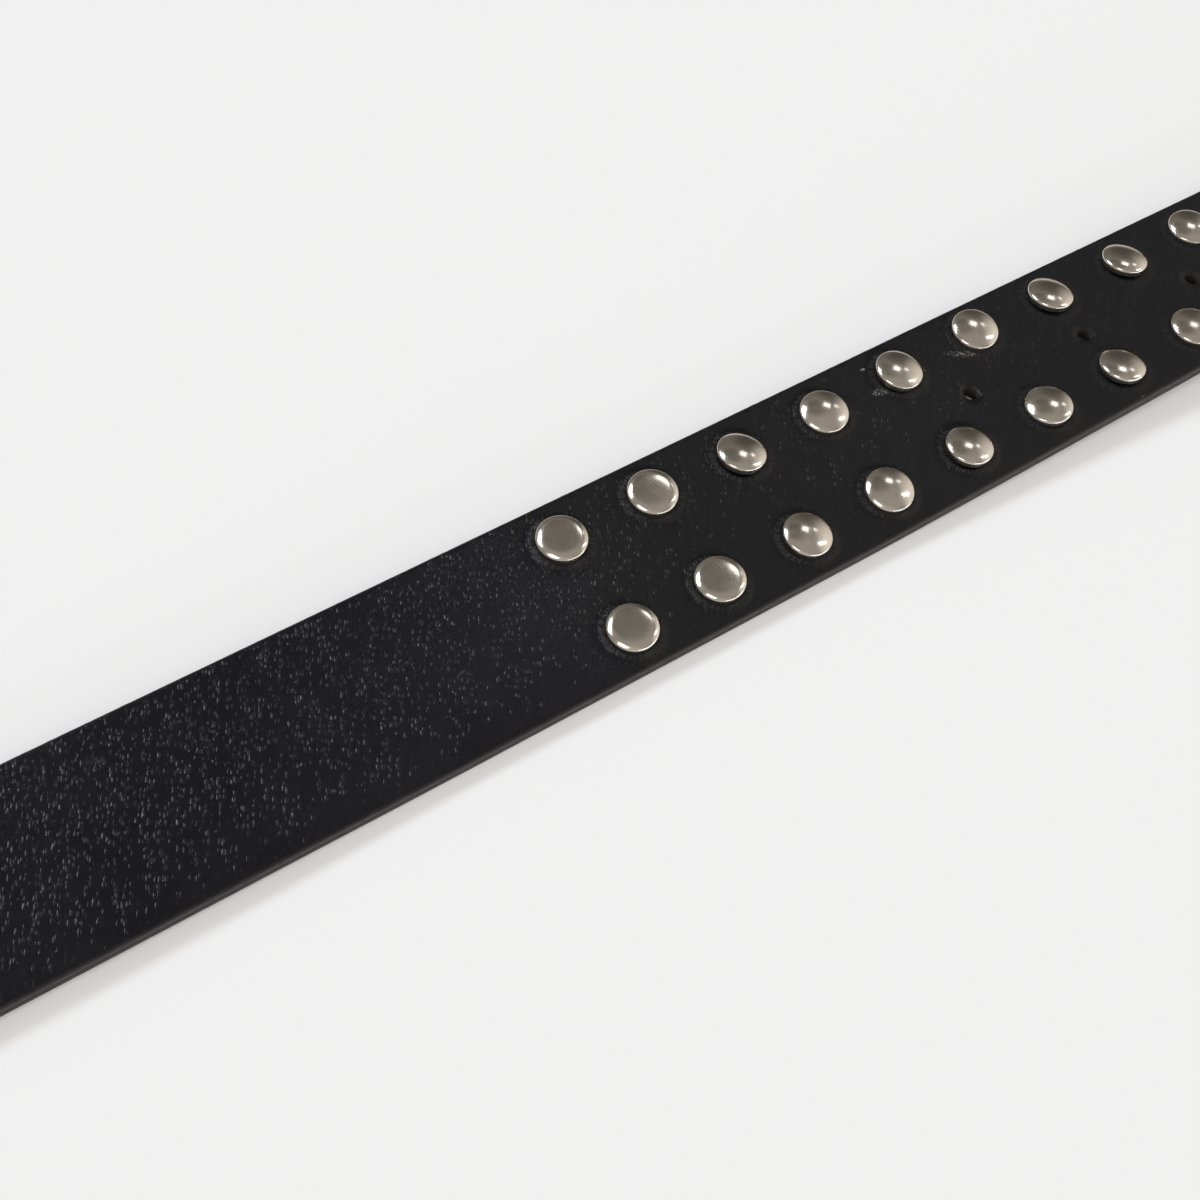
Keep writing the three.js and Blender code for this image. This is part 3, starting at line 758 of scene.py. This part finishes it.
def plain_leather(name):
    """The keeper's leather: the strap's finish with a closer grain."""
    f = Finish(name)
    place = f.object_place()
    pebble = f.add("ShaderNodeTexVoronoi", {"feature": "SMOOTH_F1"}, Vector=place,
                   Scale=1300.0, Smoothness=0.6).outputs["Distance"]
    pore = f.grain(place, 5200.0, 3.0)
    height = f.sum("ADD", f.sum("MULTIPLY", pebble, -1.0), f.sum("MULTIPLY", pore, 0.4))
    tone = f.ramp(f.grain(place, 300.0, 3.0), 0.3, 0.7)
    f.put(f.shader.inputs["Base Color"],
          f.tones(tone, (0.0055, 0.0054, 0.0062), (0.0085, 0.0082, 0.0092)))
    f.put(f.shader.inputs["Roughness"], f.ramp(pore, 0.3, 0.7, 0.38, 0.50))
    f.put(f.shader.inputs["Specular IOR Level"], 0.42)
    f.put(f.shader.inputs["Normal"], f.relief(height, 0.05))
    return f.material


finish_piece(buckle_mesh(), "buckle_frame", ["buckle"], [nickel_finishes[0]])
finish_piece(keeper_mesh(), "keeper_loop", ["keeper"], [plain_leather("keeper_leather")])


# How strongly the sheet glows, a painted light that lifts its shade, and where the glow is left
# off, given as SCUFFS are
FLOOR_GLOW = 0.229
UNLIT = [(366.0, 0.0, 130.0, 13.0, 0)]
# How far the sheet lies below the belt's lowest face
FLOOR_DROP = 0.06


def pale_floor():
    """A white sheet that glows a little, a painted light that lifts the shade round the belt,
    but not under the belt, so its holes stay dark.
    """
    f = Finish("pale_floor")
    f.put(f.shader.inputs["Base Color"], (0.862, 0.876, 0.904, 1))
    # Painted light: the sheet glows, which lightens the shade round the belt; the glow is left
    # off under the belt.
    f.put(f.shader.inputs["Emission Color"], (1, 1, 1, 1))
    f.put(f.shader.inputs["Emission Strength"],
          f.ramp(f.patches(UNLIT), 0.0, 1.0, FLOOR_GLOW, 0.0))
    f.put(f.shader.inputs["Roughness"], 0.9)
    f.put(f.shader.inputs["Specular IOR Level"], 0.1)
    mesh = bmesh.new()
    bmesh.ops.create_grid(mesh, x_segments=1, y_segments=1, size=6,
                          matrix=Matrix.Translation((0, 0, -FLOOR_DROP * METRES)))
    data = bpy.data.meshes.new("floor")
    mesh.to_mesh(data)
    mesh.free()
    data.materials.append(f.material)
    floor = bpy.data.objects.new("floor", data)
    bpy.context.collection.objects.link(floor)


# Each panel lamp: its direction, its width and height in degrees, its brightness and colour
WHITE = (1, 1, 1)
PANELS = [("key_softbox", (-0.25, 0.65, 0.72), 27, 15, 8.0, (0.955, 1.0, 1.06)),
          ("overhead_box", (-0.50, -0.10, 0.86), 20, 18, 3.6, WHITE),
          ("front_panel", (0.35, -0.92, 0.18), 66, 12, 2.6, WHITE),
          ("right_window", (0.68, -0.11, 0.725), 3.2, 15, 5.0, WHITE),
          ("glint_lamp", (0.52, 0.38, 0.765), 8.5, 8.5, 1.9, WHITE),
          ("second_glint_lamp", (0.70, 0.26, 0.66), 4.5, 4.5, 1.6, WHITE)]


def panel(name, towards, width, height, brightness, colour):
    """A soft panel lamp that faces the belt from far off. Its width and height are angles
    in degrees, and brightness is what its face shows."""
    aim, distance = Vector((0.24, 0, 0)), 12.0
    direction = Vector(towards).normalized()
    data = bpy.data.lights.new(name, "AREA")
    data.shape = "RECTANGLE"
    data.size = 2 * distance * math.tan(math.radians(width / 2))
    data.size_y = 2 * distance * math.tan(math.radians(height / 2))
    data.energy = brightness * math.pi * data.size * data.size_y
    data.color = colour
    lamp = bpy.data.objects.new(name, data)
    lamp.location = aim + direction * distance
    lamp.rotation_euler = direction.to_track_quat("Z", "Y").to_euler()
    bpy.context.collection.objects.link(lamp)


# Each part of the room: its direction, where it begins and is full, and what it adds
ROOM_LEVEL = 0.29
ROOM = [((0.22, 0.48, 0.85), 0.93, 0.99, -0.12),
        ((0.45, 0.85, 0.05), 0.55, 0.95, -0.12),
        ((0.10, -0.20, 0.97), 0.80, 0.99, 0.06),
        ((0.82, 0.42, 0.38), 0.86, 0.98, -0.09),
        ((0.93, -0.25, 0.28), 0.70, 0.96, 0.60),
        ((-0.60, -0.70, 0.35), 0.50, 0.90, 0.20)]


def studio_room():
    """The room round the set: an even warm grey, a little darker overhead and behind, with
    pale walls on the near side."""
    world = bpy.data.worlds.new("studio")
    world.use_nodes = True
    tree = world.node_tree
    sky = tree.nodes["Background"]
    towards = tree.nodes.new("ShaderNodeTexCoord").outputs["Generated"]

    def share(direction, low, high):
        dot = tree.nodes.new("ShaderNodeVectorMath")
        dot.operation = "DOT_PRODUCT"
        tree.links.new(towards, dot.inputs[0])
        dot.inputs[1].default_value = Vector(direction).normalized()
        smooth = tree.nodes.new("ShaderNodeMapRange")
        smooth.interpolation_type = "SMOOTHSTEP"
        tree.links.new(dot.outputs["Value"], smooth.inputs["Value"])
        smooth.inputs["From Min"].default_value = low
        smooth.inputs["From Max"].default_value = high
        return smooth.outputs["Result"]

    total = None
    for direction, low, high, amount in ROOM:
        step = tree.nodes.new("ShaderNodeMath")
        step.operation = "MULTIPLY_ADD"
        tree.links.new(share(direction, low, high), step.inputs[0])
        step.inputs[1].default_value = amount
        if total is None:
            step.inputs[2].default_value = ROOM_LEVEL
        else:
            tree.links.new(total, step.inputs[2])
        total = step.outputs[0]
    tree.links.new(total, sky.inputs["Strength"])
    sky.inputs["Color"].default_value = (1.0, 0.93, 0.83, 1)
    bpy.context.scene.world = world


# The photo's camera: its place in metres, its azimuth, elevation and roll, and its lens
CAMERA_AT = (0.1150, -0.10495, 0.2527)
CAMERA_TURN = (-51.12, 56.87, 19.14)
CAMERA_LENS = 63.08


def camera():
    """The camera, which looks down on the stretch where the studs begin."""
    data = bpy.data.cameras.new("camera")
    data.sensor_width = 36
    data.lens = CAMERA_LENS
    data.clip_start = 0.01
    azimuth, elevation, roll = (math.radians(angle) for angle in CAMERA_TURN)
    back = Vector((math.sin(azimuth) * math.cos(elevation),
                   -math.cos(azimuth) * math.cos(elevation), math.sin(elevation)))
    level = (-back).cross(Vector((0, 0, 1))).normalized()
    upright = level.cross(-back)
    right = math.cos(roll) * level + math.sin(roll) * upright
    up = -math.sin(roll) * level + math.cos(roll) * upright
    turn = Matrix((right, up, back)).transposed().to_4x4()
    eye = bpy.data.objects.new("camera", data)
    eye.matrix_world = Matrix.Translation(CAMERA_AT) @ turn
    bpy.context.collection.objects.link(eye)
    bpy.context.scene.camera = eye


pale_floor()
studio_room()
for lamp_row in PANELS:
    panel(*lamp_row)
camera()
bpy.context.scene.view_settings.view_transform = "Standard"
